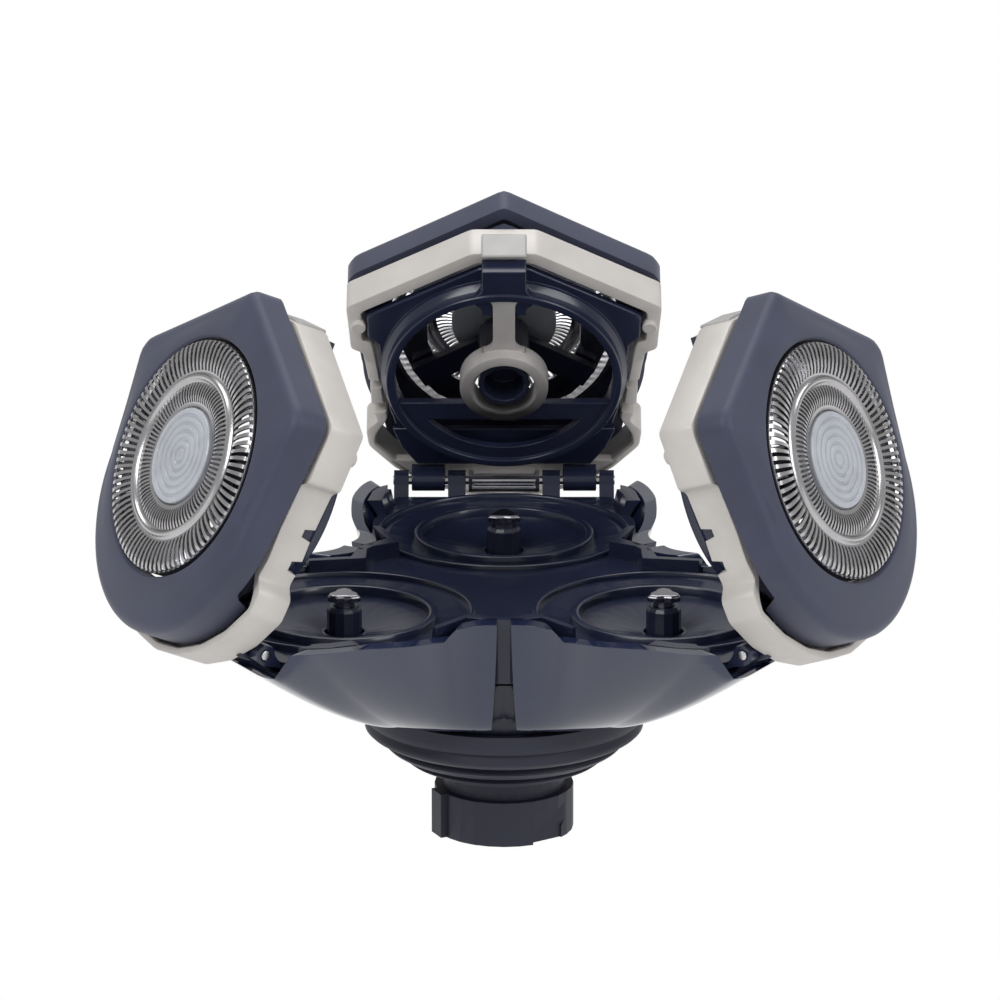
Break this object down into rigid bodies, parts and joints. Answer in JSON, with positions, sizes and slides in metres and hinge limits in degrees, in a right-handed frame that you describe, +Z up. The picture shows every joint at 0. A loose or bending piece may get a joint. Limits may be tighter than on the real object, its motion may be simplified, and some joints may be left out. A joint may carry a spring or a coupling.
{
  "type": "rotary shaver head",
  "caption": "Rotary shaving unit with flip-up cutter holders on a base that tilts on a coupling stem, shown with the holders open.",
  "frame": {"origin": "centre of the coupling stem's end face, on the drive axis", "axes": "+Z up along the drive axis from the stem to the head; +Y towards the rear holder's hinge; +X towards the right holder's side"},
  "size_m": [0.0791, 0.0712, 0.0587],
  "materials": {
    "black_plastic": "satin moulded",
    "steel": "bright",
    "rubber": "matt",
    "gear_plastic": "satin",
    "gloss_black": "polished",
    "champagne": "satin champagne silver",
    "soft_touch": "soft-touch matt",
    "grey_plastic": "satin"
  },
  "bodies": {
    "stem": {"coupling_stem": "black_plastic"},
    "shaft": {"drive_shaft": "steel"},
    "gimbal": {"gimbal_ring": "steel"},
    "head": {"base_housing": "black_plastic", "lower_housing": "black_plastic", "bellows": "rubber", "rear_outer_panel": "gloss_black", "rear_case_screw": "steel", "rear_hinge_pin": "steel", "rear_hinge_clip": "steel", "left_outer_panel": "gloss_black", "left_case_screw": "steel", "left_hinge_pin": "steel", "left_hinge_clip": "steel", "right_outer_panel": "gloss_black", "right_case_screw": "steel", "right_hinge_pin": "steel", "right_hinge_clip": "steel"},
    "centre_gear": {"centre_gear": "gear_plastic"},
    "rear_pinion": {"rear_spindle_gear": "gear_plastic", "rear_spindle_spring": "steel"},
    "rear_spindle": {"rear_spindle": "black_plastic", "rear_spindle_tip": "steel"},
    "rear_holder": {"rear_holder_frame": "champagne", "rear_retaining_frame": "black_plastic", "rear_retainer_latch": "champagne"},
    "rear_face": {"rear_face_skin": "soft_touch", "rear_shaving_cap": "steel", "rear_cap_disc": "grey_plastic"},
    "rear_cutter": {"rear_cutter_carrier": "black_plastic", "rear_cutter_blades": "steel"},
    "left_pinion": {"left_spindle_gear": "gear_plastic", "left_spindle_spring": "steel"},
    "left_spindle": {"left_spindle": "black_plastic", "left_spindle_tip": "steel"},
    "left_holder": {"left_holder_frame": "champagne", "left_retaining_frame": "black_plastic", "left_retainer_latch": "champagne"},
    "left_face": {"left_face_skin": "soft_touch", "left_shaving_cap": "steel", "left_cap_disc": "grey_plastic"},
    "left_cutter": {"left_cutter_carrier": "black_plastic", "left_cutter_blades": "steel"},
    "right_pinion": {"right_spindle_gear": "gear_plastic", "right_spindle_spring": "steel"},
    "right_spindle": {"right_spindle": "black_plastic", "right_spindle_tip": "steel"},
    "right_holder": {"right_holder_frame": "champagne", "right_retaining_frame": "black_plastic", "right_retainer_latch": "champagne"},
    "right_face": {"right_face_skin": "soft_touch", "right_shaving_cap": "steel", "right_cap_disc": "grey_plastic"},
    "right_cutter": {"right_cutter_carrier": "black_plastic", "right_cutter_blades": "steel"}
  },
  "joints": [
    {"name": "shaft_spin", "type": "hinge", "parent": "stem", "child": "shaft", "pos_m": [0, 0, 0.006], "axis": [0, 0, 1], "continuous": true},
    {"name": "gimbal_tilt_x", "type": "hinge", "parent": "stem", "child": "gimbal", "pos_m": [0, 0, 0.0118], "axis": [1, 0, 0], "range_deg": [-6, 6], "stiffness_Nm_per_rad": 0.06, "deforming": ["bellows"]},
    {"name": "gimbal_tilt_y", "type": "hinge", "parent": "gimbal", "child": "head", "pos_m": [0, 0, 0.0118], "axis": [0, 1, 0], "range_deg": [-6, 6], "stiffness_Nm_per_rad": 0.06, "deforming": ["bellows"]},
    {"name": "centre_gear_spin", "type": "hinge", "parent": "head", "child": "centre_gear", "pos_m": [0, 0, 0.0208], "axis": [0, 0, 1], "continuous": true},
    {"name": "rear_pinion_spin", "type": "hinge", "parent": "head", "child": "rear_pinion", "pos_m": [0, 0.01785, 0.0208], "axis": [0, 0, 1], "continuous": true},
    {"name": "rear_spindle_travel", "type": "slide", "parent": "rear_pinion", "child": "rear_spindle", "axis": [0, 0, 1], "range_m": [-0.001, 0], "stiffness_N_per_m": 200, "springref_m": 0.002, "deforming": ["rear_spindle_spring"]},
    {"name": "rear_holder_hinge", "type": "hinge", "parent": "head", "child": "rear_holder", "pos_m": [0, 0.0325, 0.02585], "axis": [-1, 0, 0], "range_deg": [-62, 13]},
    {"name": "rear_face_tilt", "type": "hinge", "parent": "rear_holder", "child": "rear_face", "pos_m": [0, 0.02764, 0.04139], "axis": [-1, 0, 0], "range_deg": [-4, 0]},
    {"name": "rear_cutter_spin", "type": "hinge", "parent": "rear_face", "child": "rear_cutter", "pos_m": [0, 0.02545, 0.03893], "axis": [0, 0.9135, 0.4067], "continuous": true},
    {"name": "left_pinion_spin", "type": "hinge", "parent": "head", "child": "left_pinion", "pos_m": [-0.01546, -0.00893, 0.0208], "axis": [0, 0, 1], "continuous": true},
    {"name": "left_spindle_travel", "type": "slide", "parent": "left_pinion", "child": "left_spindle", "axis": [0, 0, 1], "range_m": [-0.001, 0], "stiffness_N_per_m": 200, "springref_m": 0.002, "deforming": ["left_spindle_spring"]},
    {"name": "left_holder_hinge", "type": "hinge", "parent": "head", "child": "left_holder", "pos_m": [-0.02815, -0.01625, 0.02585], "axis": [0.5, -0.866, 0], "range_deg": [-66, 9]},
    {"name": "left_face_tilt", "type": "hinge", "parent": "left_holder", "child": "left_face", "pos_m": [-0.02488, -0.01437, 0.04169], "axis": [0.5, -0.866, 0], "range_deg": [0, 4]},
    {"name": "left_cutter_spin", "type": "hinge", "parent": "left_face", "child": "left_cutter", "pos_m": [-0.02299, -0.01327, 0.03923], "axis": [-0.7912, -0.4568, 0.4067], "continuous": true},
    {"name": "right_pinion_spin", "type": "hinge", "parent": "head", "child": "right_pinion", "pos_m": [0.01546, -0.00893, 0.0208], "axis": [0, 0, 1], "continuous": true},
    {"name": "right_spindle_travel", "type": "slide", "parent": "right_pinion", "child": "right_spindle", "axis": [0, 0, 1], "range_m": [-0.001, 0], "stiffness_N_per_m": 200, "springref_m": 0.002, "deforming": ["right_spindle_spring"]},
    {"name": "right_holder_hinge", "type": "hinge", "parent": "head", "child": "right_holder", "pos_m": [0.02815, -0.01625, 0.02585], "axis": [0.5, 0.866, 0], "range_deg": [-70, 5]},
    {"name": "right_face_tilt", "type": "hinge", "parent": "right_holder", "child": "right_face", "pos_m": [0.02585, -0.01492, 0.04191], "axis": [0.5, 0.866, 0], "range_deg": [0, 4]},
    {"name": "right_cutter_spin", "type": "hinge", "parent": "right_face", "child": "right_cutter", "pos_m": [0.02381, -0.01374, 0.03962], "axis": [0.8138, -0.4698, 0.342], "continuous": true}
  ],
  "couplings": [
    {"joint": "shaft_spin", "follows": "centre_gear_spin", "ratio": 1},
    {"joint": "rear_pinion_spin", "follows": "centre_gear_spin", "ratio": -2.5},
    {"joint": "left_pinion_spin", "follows": "centre_gear_spin", "ratio": -2.5},
    {"joint": "right_pinion_spin", "follows": "centre_gear_spin", "ratio": -2.5}
  ]
}
